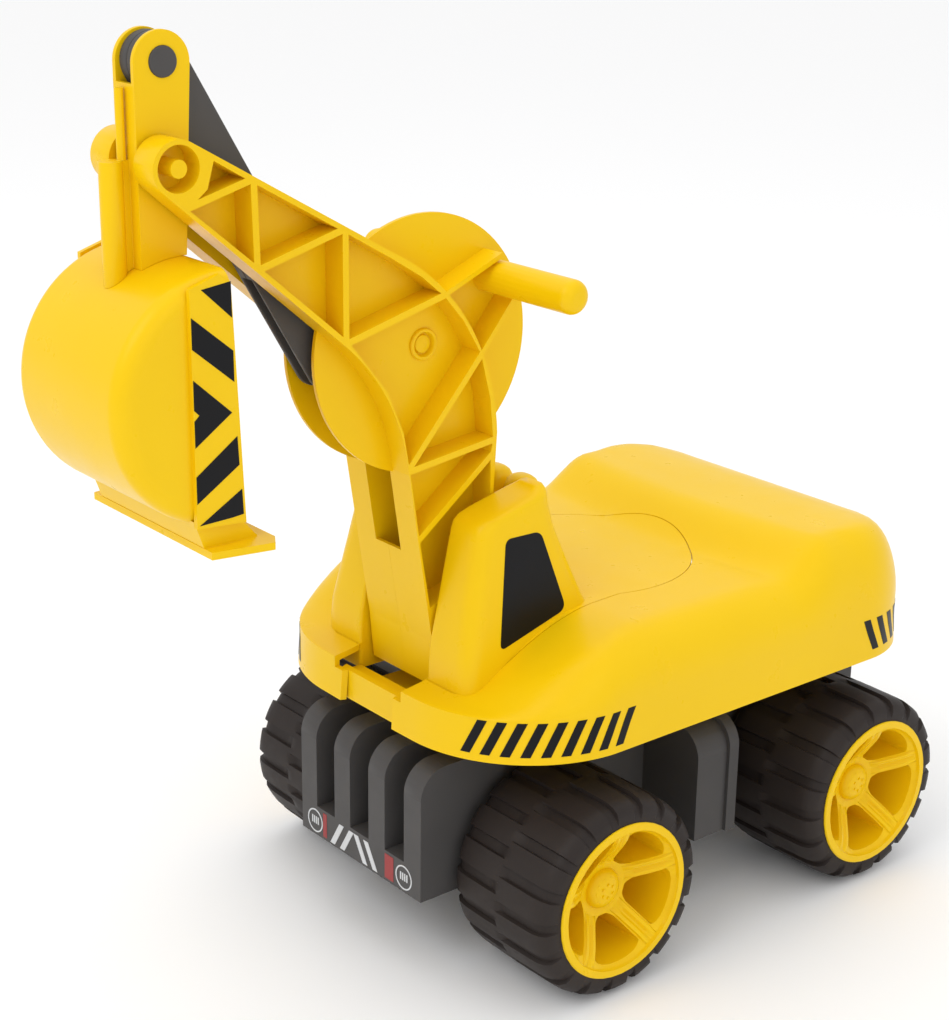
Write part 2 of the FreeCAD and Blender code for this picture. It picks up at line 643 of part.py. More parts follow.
def boom_half(trimmed_guard=False):
    """One boom moulding: web with the round guard disc, deep flanges and ribs, tip boss and handle."""
    body = new_body("boom")
    beam = sketch_on(body, "YZ_Plane", "dims.web_inner_x")
    draw_outline(beam, boom_outline())
    pad(body, beam, "dims.boom_half_width - dims.web_inner_x")
    cells = sketch_on(body, "YZ_Plane", "dims.boom_half_width")
    for cell in boom_cells():
        draw_outline(cells, cell)
    pocket(body, cells, "dims.boom_half_width - dims.web_inner_x - dims.web_thickness")
    guard = sketch_on(body, "YZ_Plane", "dims.web_inner_x")
    if trimmed_guard:
        radius = D["guard_radius"]
        draw_outline(guard, [on_circle(ELBOW, radius, 45), (-176.0, 419.0), on_circle(ELBOW, radius, 150),
                             ("arc", on_circle(ELBOW, radius, 270), on_circle(ELBOW, radius, 45))])
    else:
        draw_circle(guard, ELBOW, "dims.guard_radius")
    pad(body, guard, "dims.web_thickness")
    for start, end in (((-153.0, 400.0), (-112.0, 417.5)), ((-126.0, 363.0), (-103.0, 391.0))):
        length = math.hypot(end[0] - start[0], end[1] - start[1])
        across = (-(end[1] - start[1]) / length * 1.4, (end[0] - start[0]) / length * 1.4)
        rib = sketch_on(body, "YZ_Plane", "dims.web_inner_x")
        draw_outline(rib, [(start[0] + across[0], start[1] + across[1]), (end[0] + across[0], end[1] + across[1]),
                           (end[0] - across[0], end[1] - across[1]), (start[0] - across[0], start[1] - across[1])])
        pad(body, rib, "dims.boom_half_width - dims.web_inner_x")
    seam = sketch_on(body, "YZ_Plane", "0.05")
    draw_outline(seam, [(-157.2, 167.0), (-160.3, 197.0), (-169.0, 250.0), (-166.4, 250.0), (-157.7, 197.0), (-154.6, 167.0)])
    pad(body, seam, "dims.web_inner_x + 1")
    recess = sketch_on(body, "YZ_Plane", "dims.boom_half_width")
    draw_circle(recess, TIP, "dims.tip_recess_radius")
    draw_circle(recess, TIP, "4.6")
    pocket(body, recess, "14")
    bores = sketch_on(body, "YZ_Plane", "0")
    draw_circle(bores, BASE, "dims.base_pin_radius + dims.running_gap")
    draw_circle(bores, ELBOW, "dims.hub_pin_radius")
    pocket(body, bores, "dims.boom_half_width + 1", reverse=True)
    socket = sketch_on(body, "YZ_Plane", "dims.web_inner_x - 1")
    draw_circle(socket, TIP, "dims.tip_pin_radius")
    pocket(body, socket, "3.2", reverse=True)
    grip = doc.addObject("Part::Cylinder", "grip")
    bind(grip, Radius="dims.handle_radius", Height="dims.handle_length")
    grip.Placement = Placement(Vector(D["web_inner_x"], D["handle_y"], D["handle_z"]), Rotation(Vector(0, 1, 0), 90))
    rounded = doc.addObject("Part::Fillet", "grip_rounded")
    rounded.Base = grip
    doc.recompute()
    far_end = max(range(3), key=lambda i: grip.Shape.Edges[i].BoundBox.XMin) + 1
    rounded.Edges = [(far_end, 6.0, 6.0)]
    return combine("Part::Fuse", "boom_with_grip", body, rounded)


def boom():
    sub_part(boom_half(), "boom_half_left")
    sub_part(mirrored(boom_half(trimmed_guard=True), "boom_half_right"), "boom_half_right")
    core = cross_cylinder("hub_core", "dims.hub_core_radius", "-dims.web_inner_x - 1", "2 * dims.web_inner_x + 2", "dims.elbow_y", "dims.elbow_z")
    ends = [cross_cylinder("hub_end", "dims.hub_pin_radius", low, "dims.web_thickness - 0.3", "dims.elbow_y", "dims.elbow_z")
            for low in ("dims.web_inner_x + 0.3", "-dims.web_inner_x - dims.web_thickness")]
    sub_part(combine("Part::Fuse", "hub", core, *ends), "elbow_hub")
    pin = cross_cylinder("tip_pin", "dims.tip_pin_radius", "0", "2 * dims.web_inner_x + 4", "0", "0")
    place_pin(pin, "boom_tip_pin", "-dims.web_inner_x - 2", "dims.tip_y", "dims.tip_z")


# ---------------------------------------------------------------- stick, bucket, rod and crank

def stick():
    """Channel with a forked round head, open at the rear, and a dummy hydraulic cylinder on its front."""
    body = new_body("channel")
    front, rear, foot = HEAD[0] - D["head_radius"] - 1, HEAD[0] + D["head_radius"], 425.0
    side = sketch_on(body, "YZ_Plane", "-dims.stick_half_width")
    draw_outline(side, [(front, foot), (rear - 6, foot), (rear, HEAD[1]), ("arc", (HEAD[0], HEAD[1] + D["head_radius"]), (front, HEAD[1]))])
    pad(body, side, "2 * dims.stick_half_width")
    channel = sketch_on(body, "YZ_Plane", "-dims.stick_half_width + dims.cheek_thickness")
    draw_outline(channel, [(front + 3, foot - 1), (rear + 1, foot - 1), (rear + 1, HEAD[1] + 20), (front - 1, HEAD[1] + 20), (front - 1, HEAD[1] - 10), (front + 3, HEAD[1] - 10)])
    pocket(body, channel, "2 * dims.stick_half_width - 2 * dims.cheek_thickness", reverse=True)
    for level, radius, length, back in (("418", "6", "68", -338.0), ("485", "2.3", "36", -331.5)):
        post = sketch_on(body, "XY_Plane", level)
        draw_circle(post, (0.0, back), radius)
        pad(body, post, length)
    web = sketch_on(body, "XY_Plane", "418")
    draw_outline(web, [(-2.5, -336), (2.5, -336), (2.5, front + 1), (-2.5, front + 1)])
    pad(body, web, "68")
    bores = sketch_on(body, "YZ_Plane", "-dims.stick_half_width - 8")
    draw_circle(bores, HEAD, "dims.head_pin_radius")
    draw_circle(bores, TIP, "dims.tip_pin_radius + dims.running_gap")
    pocket(body, bores, "2 * dims.stick_half_width + 16", reverse=True)
    bowl = cross_cylinder("bowl_clear", "dims.bowl_radius + 0.05", "-60", "120", "dims.bowl_y", "dims.bowl_z")
    trimmed = combine("Part::Cut", "stick_foot", body, bowl)
    sub_part(trimmed, "stick")
    pin = cross_cylinder("head_pin", "dims.head_pin_radius", "0", "2 * dims.stick_half_width + 2", "0", "0")
    place_pin(pin, "stick_head_pin", "-dims.stick_half_width - 1", "dims.head_y", "dims.head_z")


def bucket():
    """Half-round bowl open towards the rider, with side blades and a flared cutting lip."""
    body = new_body("bowl")
    y, z, radius = D["bowl_y"], D["bowl_z"], D["bowl_radius"]
    bowl = sketch_on(body, "YZ_Plane", "-dims.bowl_half_width")
    draw_outline(bowl, [(y, z + radius), ("arc", (y - radius, z), (y, z - radius)), (y + 1, z - radius), (y + 0.01, z + radius - 4)])
    pad(body, bowl, "2 * dims.bowl_half_width")
    fillet(body, 9.0, lambda edge: edge.BoundBox.YMin < y - radius + 1 and edge.BoundBox.XLength < 1)
    hollow = sketch_on(body, "YZ_Plane", "-dims.bowl_half_width + dims.bowl_wall")
    inner = radius - D["bowl_wall"]
    draw_outline(hollow, [(y + 2, z + inner - 2), (y - 0.5, z + inner), ("arc", (y - inner, z), (y - 0.5, z - inner)), (y + 2, z - inner)])
    pocket(body, hollow, "2 * dims.bowl_half_width - 2 * dims.bowl_wall", reverse=True)
    for level in ("-dims.blade_half_width", "dims.blade_half_width - dims.blade_thickness"):
        blade = sketch_on(body, "YZ_Plane", level)
        draw_outline(blade, [(y - 25, z + 60), (y - 8, z + 65.5), (y - 1.5, z + 60), (y + 4, z - 64), (y - 25, z - 62)])
        pad(body, blade, "dims.blade_thickness")
    lip = sketch_on(body, "XY_Plane", "293")
    draw_outline(lip, [(-60, -324), (60, -324), (66, -290), (58, -285), (-58, -285), (-66, -290)])
    pad(body, lip, "4")
    throat = sketch_on(body, "YZ_Plane", "-dims.bowl_half_width")
    draw_outline(throat, [(-323, 295), (-290, 295), (-302, 309), (-312, 309), (-329, 312)])
    pad(body, throat, "2 * dims.bowl_half_width")
    sub_part(body, "bucket")


def rod():
    """Two grey rod halves; they meet on the centre plane at the head and straddle the crank below."""
    for node, side in (("rod_half_left", 1), ("rod_half_right", -1)):
        body = new_body(node)
        plate = sketch_on(body, "YZ_Plane", "0.05" if side > 0 else "-dims.rod_thickness")
        draw_outline(plate, strap(HEAD, D["rod_half_width"] - 0.2, ROD_FOOT, D["rod_half_width"]))
        pad(body, plate, "dims.rod_thickness - 0.05")
        relief = sketch_on(body, "YZ_Plane", "0" if side > 0 else "-dims.rod_relief")
        draw_outline(relief, [(ROD_FOOT[0] - 70, ROD_FOOT[1] + 38), (ROD_FOOT[0] + 5, ROD_FOOT[1] + 82), (ROD_FOOT[0] + 40, ROD_FOOT[1] - 30),
                              (ROD_FOOT[0] - 40, ROD_FOOT[1] - 30)])
        pocket(body, relief, "dims.rod_relief", reverse=True)
        bores = sketch_on(body, "YZ_Plane", "-10")
        draw_circle(bores, HEAD, "dims.head_pin_radius + dims.running_gap")
        draw_circle(bores, ROD_FOOT, "dims.rod_eye_radius")
        pocket(body, bores, "20", reverse=True)
        sub_part(body, node)


def crank():
    """Bell crank on the elbow hub: long arm to the rod's foot, short arm to the control link."""
    body = new_body("crank")
    sketch = sketch_on(body, "YZ_Plane", "-dims.crank_half_thickness")
    draw_outline(sketch, strap(ELBOW, 15.0, ROD_FOOT, 9.0))
    pad(body, sketch, "2 * dims.crank_half_thickness")
    short = sketch_on(body, "YZ_Plane", "-dims.crank_half_thickness")
    draw_outline(short, strap(ELBOW, 14.0, LINK_HEAD, 6.0))
    pad(body, short, "2 * dims.crank_half_thickness")
    bores = sketch_on(body, "YZ_Plane", "-10")
    draw_circle(bores, ELBOW, "dims.hub_core_radius + dims.running_gap")
    draw_circle(bores, ROD_FOOT, "dims.crank_pin_radius")
    draw_circle(bores, LINK_HEAD, "dims.link_pin_radius")
    pocket(body, bores, "20", reverse=True)
    sub_part(body, "bell_crank")
    pin = cross_cylinder("crank_pin", "dims.crank_pin_radius", "0", "2 * dims.rod_thickness", "0", "0")
    place_pin(pin, "crank_rod_pin", "-dims.rod_thickness", "dims.elbow_y - dims.crank_forward", "dims.elbow_z - dims.crank_drop")
    pin = cross_cylinder("head_link_pin", "dims.link_pin_radius", "0", "dims.crank_half_thickness * 2 + 4.5", "0", "0")
    place_pin(pin, "crank_link_pin", "-dims.crank_half_thickness", "dims.elbow_y + dims.crank_back", "dims.elbow_z + dims.crank_rise")


def control_link():
    """Thin bar that holds the crank to the upper body, beside the crank's short arm."""
    body = new_body("link")
    sketch = sketch_on(body, "YZ_Plane", "dims.crank_half_thickness + 0.7")
    draw_outline(sketch, strap(LINK_FOOT, 6.6, LINK_HEAD, 5.6))
    draw_circle(sketch, LINK_FOOT, "dims.link_pin_radius + dims.link_foot_play")
    draw_circle(sketch, LINK_HEAD, "dims.link_pin_radius + dims.running_gap")
    pad(body, sketch, "dims.link_thickness")
    sub_part(body, "control_link")


def check_and_export():
    """Stop on any failed object or bad solid, then write one STEP file for each sub-part."""
    doc.recompute()
    for feature in doc.Objects:
        if {"Invalid", "Error"} & set(feature.State):
            raise RuntimeError(f"{feature.Label} failed: {feature.State}")
    for feature in SUB_PARTS:
        shape = feature.Shape
        if shape.isNull() or not shape.isValid() or not shape.Solids:
            raise RuntimeError(f"{feature.Label} has no valid solid")
    os.makedirs("parts", exist_ok=True)
    for feature in SUB_PARTS:
        box = feature.Shape.BoundBox
        print(f"{feature.Label:22s} {len(feature.Shape.Solids)} solid(s) {feature.Shape.Volume / 1000:9.1f} cm3  "
              f"x {box.XMin:.1f}..{box.XMax:.1f}  y {box.YMin:.1f}..{box.YMax:.1f}  z {box.ZMin:.1f}..{box.ZMax:.1f}")
        feature.Shape.exportStep(f"parts/{feature.Label}.step")


chassis_frame()
axles()
swivel()
wheels()
upper_body()
cab_insert()
boom_mount()
boom()
stick()
bucket()
rod()
crank()
control_link()
check_and_export()
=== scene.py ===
import bmesh
import bpy
import json
import math
import numpy as np
from mathutils import Matrix, Vector


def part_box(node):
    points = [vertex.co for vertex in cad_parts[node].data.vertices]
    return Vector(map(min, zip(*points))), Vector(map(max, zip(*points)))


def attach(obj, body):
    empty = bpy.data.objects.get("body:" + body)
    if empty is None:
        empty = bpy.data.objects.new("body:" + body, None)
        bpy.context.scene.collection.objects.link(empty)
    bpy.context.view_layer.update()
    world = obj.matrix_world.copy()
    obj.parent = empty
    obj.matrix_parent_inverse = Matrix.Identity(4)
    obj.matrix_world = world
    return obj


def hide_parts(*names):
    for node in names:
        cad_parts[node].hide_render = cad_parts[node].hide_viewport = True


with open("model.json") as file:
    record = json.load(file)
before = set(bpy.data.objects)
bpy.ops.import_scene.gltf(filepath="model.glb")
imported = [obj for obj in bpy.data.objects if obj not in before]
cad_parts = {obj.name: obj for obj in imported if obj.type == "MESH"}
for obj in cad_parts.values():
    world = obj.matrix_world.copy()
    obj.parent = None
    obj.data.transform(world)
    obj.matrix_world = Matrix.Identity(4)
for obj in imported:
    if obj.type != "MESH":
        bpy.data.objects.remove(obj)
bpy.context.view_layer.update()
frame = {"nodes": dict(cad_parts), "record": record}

MM = 0.001
nodes = frame["nodes"]
MID_Y = sum(sum(corner[1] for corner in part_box(axle)) / 2 for axle in ("front_axle", "rear_axle")) / 2

# Design millimetres
WHEEL_X, WHEEL_Z, AXLE_REACH = 104.2, 61.8, 110.0  # wheel centres: across, up, and fore or aft of the middle
TREAD_HALF = 40.9                                  # half the tyre's width
CAP_FOOT = WHEEL_X + 22.3                          # where a hub cap starts
ELBOW = (-155.8, 369.8)                            # Y and Z of the bell crank's pivot
SLOT_HALF = 32.5                                   # half the width of the boom's slot
WINDOW_CORNERS = ((-140.5, 198.5), (-89.5, 212), (-105.5, 261.5), (-131.5, 262))
BLADE_STRIPES = (((-322.5, 430.0), (-305.6, 432.2), (-305.4, 414.0)),
                 ((-328.6, 417.0), (-305.2, 397.4), (-305.1, 381.5), (-328.6, 401.3)),
                 ((-328.6, 385.9), (-306.9, 366.1), (-328.6, 351.3), (-328.6, 365.1), (-325.7, 367.7),
                  (-328.6, 370.6)),
                 ((-304.2, 353.4), (-303.4, 338.3), (-328.6, 322.1), (-328.6, 336.3)),
                 ((-302.2, 325.3), (-301.6, 311.8), (-308.5, 311.2), (-327.5, 310.6)))


def at(x, y, z):
    """Design millimetres, measured from the ground midway between the axles, to the frame's metres."""
    return Vector((x * MM, y * MM + MID_Y, z * MM))


# ---------------------------------------------------------------- camera, light and floor

def make_camera(azimuth=50.487, elevation=19.100, roll=0.789, lens=69.74):
    """The photograph's camera, solved from the wheels, axles and boom pivots; angles in degrees."""
    data = bpy.data.cameras.new("photo_camera")
    data.sensor_width, data.lens = 36.0, lens
    camera = bpy.data.objects.new("photo_camera", data)
    bpy.context.scene.collection.objects.link(camera)
    a, e = math.radians(azimuth), math.radians(elevation)
    back = Vector((math.sin(a) * math.cos(e), -math.cos(a) * math.cos(e), math.sin(e)))
    camera.location = at(858.1, -812.5, 642.6)
    camera.rotation_mode = "QUATERNION"
    level = (-back).to_track_quat("-Z", "Y")
    camera.rotation_quaternion = level @ Matrix.Rotation(math.radians(roll), 3, "Z").to_quaternion()
    data.clip_start, data.clip_end = 0.01, 50.0
    bpy.context.scene.camera = camera


def area_light(name, position, size, power, target=(0, 0, 0.25)):
    data = bpy.data.lights.new(name, "AREA")
    data.shape, data.size, data.energy = "DISK", size, power
    light = bpy.data.objects.new(name, data)
    bpy.context.scene.collection.objects.link(light)
    light.location = position
    light.rotation_mode = "QUATERNION"
    light.rotation_quaternion = (Vector(target) - Vector(position)).to_track_quat("-Z", "Y")


def make_studio():
    """Soft lights, a pale sky that darkens towards the horizon, and a plain pale floor."""
    area_light("key", (0.2, -1.9, 2.2), 1.6, 13)
    area_light("fill", (2.4, -0.2, 1.3), 1.8, 3)
    area_light("top", (-0.4, 0.4, 2.6), 2.2, 6)
    world = bpy.data.worlds.new("studio")
    bpy.context.scene.world = world
    world.use_nodes = True
    tree = world.node_tree
    direction = tree.nodes.new("ShaderNodeTexCoord").outputs["Generated"]
    split = tree.nodes.new("ShaderNodeSeparateXYZ")
    ramp = tree.nodes.new("ShaderNodeValToRGB")
    low, high = ramp.color_ramp.elements
    low.position, low.color = 0.0, (0.75, 0.75, 0.76, 1)
    high.position, high.color = 0.8, (1, 1, 1, 1)
    tree.links.new(direction, split.inputs["Vector"])
    tree.links.new(split.outputs["Z"], ramp.inputs["Fac"])
    tree.links.new(ramp.outputs["Color"], tree.nodes["Background"].inputs["Color"])
    tree.nodes["Background"].inputs["Strength"].default_value = 1.03
    bpy.context.scene.view_settings.view_transform = "Standard"
    mesh = bpy.data.meshes.new("floor")
    far = 30.0
    mesh.from_pydata([(-far, -far, 0), (far, -far, 0), (far, far, 0), (-far, far, 0)], [], [(0, 1, 2, 3)])
    floor = bpy.data.objects.new("floor", mesh)
    bpy.context.scene.collection.objects.link(floor)
    mat = bpy.data.materials.new("floor_paper")
    mat.use_nodes = True
    shader = mat.node_tree.nodes["Principled BSDF"]
    shader.inputs["Base Color"].default_value = (0.97, 0.97, 0.97, 1)
    shader.inputs["Roughness"].default_value = 0.9
    mesh.materials.append(mat)


# ---------------------------------------------------------------- materials

class NodeMaterial:
    """A principled material with a few helpers for building its node tree."""

    def __init__(self, name, roughness, coat, metallic):
        self.mat = bpy.data.materials.new(name)
        self.mat.use_nodes = True
        self.tree = self.mat.node_tree
        self.shader = self.tree.nodes["Principled BSDF"]
        self.set("Roughness", roughness)
        self.set("Coat Weight", coat)
        self.set("Coat Roughness", 0.1)
        self.set("Metallic", metallic)
        self.set("IOR", 1.48)
        self.set("Specular IOR Level", 0.20)
        self.coords = self.tree.nodes.new("ShaderNodeTexCoord").outputs["Object"]

    def set(self, socket, value):
        self.shader.inputs[socket].default_value = value

    def link(self, output, node_input):
        self.tree.links.new(output, node_input)

    def noise(self, scale, detail):
        node = self.tree.nodes.new("ShaderNodeTexNoise")
        node.inputs["Scale"].default_value = scale
        node.inputs["Detail"].default_value = detail
        node.inputs["Roughness"].default_value = 0.6
        self.link(self.coords, node.inputs["Vector"])
        return node.outputs["Fac"]

    def ramp(self, source, *stops):
        node = self.tree.nodes.new("ShaderNodeValToRGB")
        for element, (position, colour) in zip(node.color_ramp.elements, stops):
            element.position, element.color = position, (*colour, 1)
        self.link(source, node.inputs["Fac"])
        return node.outputs["Color"]

    def bump(self, height, strength, distance):
        node = self.tree.nodes.new("ShaderNodeBump")
        node.inputs["Strength"].default_value = strength
        node.inputs["Distance"].default_value = distance
        self.link(height, node.inputs["Height"])
        return node.outputs["Normal"]


def plastic(name, light, dark, roughness, coat=0.0, grain=900.0, metallic=0.0):
    """Slight cloudy colour change, gentle roughness change and a fine grain in the surface."""
    m = NodeMaterial(name, roughness, coat, metallic)
    m.link(m.ramp(m.noise(9.0, 3.0), (0.3, dark), (0.7, light)), m.shader.inputs["Base Color"])
    smooth, rough = (roughness * 0.85,) * 3, (min(1, roughness * 1.25),) * 3
    m.link(m.ramp(m.noise(60.0, 5.0), (0.25, smooth), (0.8, rough)), m.shader.inputs["Roughness"])
    m.link(m.bump(m.noise(grain, 2.0), 0.2, 0.00004), m.shader.inputs["Normal"])
    return m.mat


YELLOW = plastic("yellow_plastic", (0.88, 0.565, 0.0025), (0.86, 0.545, 0.002), 0.30)
GREY = plastic("grey_plastic", (0.083, 0.079, 0.077), (0.070, 0.066, 0.065), 0.45)
TYRE = plastic("tyre_plastic", (0.030, 0.023, 0.020), (0.024, 0.018, 0.016), 0.50, grain=1400.0)
BLACK = plastic("window_film", (0.004, 0.004, 0.005), (0.003, 0.003, 0.004), 0.3)
STEEL = plastic("zinc_steel", (0.55, 0.55, 0.56), (0.45, 0.45, 0.46), 0.35, metallic=1.0)
WHITE = plastic("sticker_white", (0.66, 0.67, 0.68), (0.60, 0.61, 0.62), 0.4, coat=0.1)
RED = plastic("sticker_red", (0.34, 0.05, 0.05), (0.30, 0.04, 0.04), 0.4, coat=0.1)
SLOT_MATERIAL = {"yellow_plastic": YELLOW, "grey_plastic": GREY, "tyre_plastic": TYRE, "window_black": BLACK,
                 "steel": STEEL}


def paint_cad_nodes():
    for entry in frame["record"]["subparts"]:
        mesh = nodes[entry["node"]].data
        mesh.materials.clear()
        mesh.materials.append(SLOT_MATERIAL[entry["material_slot"]])


# ---------------------------------------------------------------- mesh building

def new_object(name, points, faces):
    mesh = bpy.data.meshes.new(name)
    mesh.from_pydata([at(*p) for p in points], [], faces)
    obj = bpy.data.objects.new(name, mesh)
    bpy.context.scene.collection.objects.link(obj)
    return obj


def raw_object(name, points, faces):
    """A mesh of design points whose faces are turned outwards."""
    obj = new_object(name, points, faces)
    surface = bmesh.new()
    surface.from_mesh(obj.data)
    bmesh.ops.recalc_face_normals(surface, faces=surface.faces)
    surface.to_mesh(obj.data)
    surface.free()
    return obj


def finish_piece(obj, material, body, replaces=(), sharp=34.0):
    """Shade an object, let it ride on a CAD body and stand for the named CAD nodes, if any."""
    mesh = obj.data
    mesh.materials.clear()
    mesh.materials.append(material)
    mesh.shade_smooth()
    mesh.set_sharp_from_angle(angle=math.radians(sharp))
    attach(obj, body)
    if replaces:
        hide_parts(*replaces)


def wheel_piece(name, points, faces, material, body, sharp):
    """A wheel's mesh, which stands for the CAD node of the same name."""
    obj = new_object(name, points, faces)
    obj.data.validate()
    obj.data.update()
    finish_piece(obj, material, body, (name.removeprefix("visual_"),), sharp)


def prism_faces(n, start=0):
    """Sides and ends between two outlines of n points each, of which the first begins at start."""
    sides = [(start + i, start + (i + 1) % n, start + n + (i + 1) % n, start + n + i) for i in range(n)]
    return sides + [tuple(range(start, start + n))[::-1], tuple(range(start + n, start + 2 * n))]


def prism(name, outline, low, high):
    """Closed prism of a plan outline between two heights."""
    points = [(x, y, z) for z in (low, high) for x, y in outline]
    return raw_object(name, points, prism_faces(len(outline)))


def block_outline(half_width, front, rear):
    return [(-half_width, front), (half_width, front), (half_width, rear), (-half_width, rear)]


def boolean(obj, operation, *tools):
    """Apply exact booleans to an object in turn, and remove the tools."""
    for tool in tools:
        modifier = obj.modifiers.new("cut", "BOOLEAN")
        modifier.operation, modifier.solver, modifier.object = operation, "EXACT", tool
        graph = bpy.context.evaluated_depsgraph_get()
        graph.update()
        result = bpy.data.meshes.new_from_object(obj.evaluated_get(graph))
        obj.modifiers.remove(modifier)
        old, obj.data = obj.data, result
        bpy.data.meshes.remove(old)
        bpy.data.objects.remove(tool, do_unlink=True)


def grid_faces(rows, columns, wrap_rows=False, flip=False):
    """Quads of a grid whose columns close round; rows close round too if asked."""
    faces = []
    for r in range(rows if wrap_rows else rows - 1):
        for c in range(columns):
            a, b = r * columns + c, r * columns + (c + 1) % columns
            d = (r + 1) % rows * columns + c
            e = (r + 1) % rows * columns + (c + 1) % columns
            faces.append((a, b, e, d) if not flip else (a, d, e, b))
    return faces


def smooth_step(value, low, high):
    t = min(1.0, max(0.0, (value - low) / (high - low)))
    return t * t * (3 - 2 * t)


def blend_points(table, value):
    return float(np.interp(value, [row[0] for row in table], [row[1] for row in table]))


def rounded_polygon(corners, radii, steps):
    """Closed outline whose corners are replaced by short arcs, one radius for each corner."""
    out = []
    corners = [Vector(corner) for corner in corners]
    for i, (p, radius) in enumerate(zip(corners, radii)):
        a, b = corners[i - 1], corners[(i + 1) % len(corners)]
        u, v = (a - p).normalized(), (b - p).normalized()
        half = 0.5 * math.acos(max(-1.0, min(1.0, u.dot(v))))
        reach = min(radius / math.tan(half), 0.49 * (a - p).length, 0.49 * (b - p).length)
        start, end = p + u * reach, p + v * reach
        for k in range(steps + 1):
            t = k / steps
            out.append(tuple((1 - t) ** 2 * start + 2 * t * (1 - t) * p + t * t * end))
    return out


# ---------------------------------------------------------------- wheels

def tyre(name, body, side, y0):
    """Rounded tyre with eighteen staggered lugs on each half and a smooth side wall."""
    # across, radius and height of the lugs, from the middle to the bead
    half = [(0.0, 59.3, 2.5), (4.0, 59.3, 2.4), (9.0, 59.3, 2.5), (18.0, 59.1, 2.5), (26.0, 59.0, 2.5),
            (31.0, 58.7, 2.5), (35.0, 57.8, 2.5), (38.0, 55.8, 2.3), (39.8, 53.0, 1.5), (40.7, 50.2, 0.3),
            (TREAD_HALF, 48.6, 0), (TREAD_HALF, 47.6, 0)]
    rows = [(-x, r, lift) for x, r, lift in half[:0:-1]] + half
    lug_pitch, lug_half, overlap = 20.0, 6.6, 3.9
    offsets = [0, 1.6, 2.9, 3.5, 5, 6.5, 7.1, 8.6, 10, 11.6, 12.9, 13.5, 15, 16.5, 17.1, 18.6]
    angles = [20 * k + offset for k in range(18) for offset in offsets]
    points = []
    for i, (x, r, lift) in enumerate(rows):
        (xa, ra, _), (xb, rb, _) = rows[max(0, i - 1)], rows[min(len(rows) - 1, i + 1)]
        length = math.hypot(xb - xa, rb - ra)
        nx, nr = -(rb - ra) / length, (xb - xa) / length
        for angle in angles:
            px, pr = x, r
            for lug_side, shift in ((1, 0.0), (-1, lug_pitch / 2)):
                from_lug = (angle - shift + lug_pitch / 2) % lug_pitch - lug_pitch / 2
                if lug_side * x > -overlap and abs(from_lug) < lug_half:
                    px, pr = x + nx * lift, r + nr * lift
            px = min(max(px, -TREAD_HALF), TREAD_HALF)
            a = math.radians(angle)
            points.append((side * (WHEEL_X + px), y0 + pr * math.sin(a), WHEEL_Z + pr * math.cos(a)))
    faces = grid_faces(len(rows), len(angles), wrap_rows=True, flip=side > 0)
    wheel_piece(name, points, faces, TYRE, body, sharp=38)


def rim(name, body, side, y0):
    """Dished wheel with a flat lip, five double-ridged spokes and deep windows between them."""
    sector, spoke_half, window = 36.0, 5.6, 0.70
    # across half of a fifth: 0 at a window's middle, 1 at a spoke's middle
    v_half = [0.0, 0.22, 0.42, 0.56, 0.645, window, 0.735, 0.78, 0.85, 0.89, 0.965, 1.0]
    v_all = [-v for v in v_half[:0:-1]] + v_half[:-1]
    # outwards over the face: 0 at the bore, 1 at the lip
    w_all = [0.0, 0.08, 0.15, 0.20, 0.235, 0.35, 0.50, 0.65, 0.765, 0.80, 0.86, 0.875, 0.90, 0.985, 1.0]
    rings = []
    for w in w_all:
        ring = []
        for fifth in range(5):
            for v in v_all:
                a = abs(v)
                corner = min(1.0, a / window) ** 5
                r = float(np.interp(w, [0, 0.20, 0.80, 0.86, 1.0],
                                    [5.0, 17.0 + 4.0 * corner, 41.2 - 3.2 * corner, 42.8, 47.9]))
                edge = sector - math.degrees(math.asin(spoke_half / max(r, 17.0)))
                phi = a / window * edge
                if a > window:
                    phi = edge + (a - window) / 0.30 * (sector - edge)
                from_spoke = spoke_half * max(0.0, (1.0 - a) / 0.30)
                x = 22.5 + 16.0 * smooth_step(r, 12.0, 44.0) ** 0.9
                if 0.20 <= w <= 0.80 and 1.6 < from_spoke < 4.4:
                    x += 1.7
                if 0.234 < w < 0.766 and a < 0.646:
                    x = 3.0
                if w > 0.87:
                    x = 42.3 if w < 0.99 else 41.6
                elif w > 0.85:
                    x = 40.2
                ring.append((x, r, math.copysign(phi, v) + 72.0 * fifth + 36.0))
        rings.append(ring)
    # over the lip, inwards along the bead, and down the back to the bore
    for x, r in ((40.95, 47.9), (TREAD_HALF, 47.45), (-TREAD_HALF, 47.45), (-TREAD_HALF, 44.6), (-0.5, 44.2),
                 (-0.5, 11.5), (-38.0, 11.0), (-38.0, 5.0)):
        rings.append([(x, r, phi) for _, _, phi in rings[len(w_all) - 1]])
    points = []
    for ring in rings:
        for x, r, phi in ring:
            a = math.radians(phi)
            points.append((side * (WHEEL_X + x), y0 + r * math.sin(a), WHEEL_Z + r * math.cos(a)))
    faces = grid_faces(len(rings), len(rings[0]), wrap_rows=True, flip=side < 0)
    wheel_piece(name, points, faces, YELLOW, body, sharp=30)


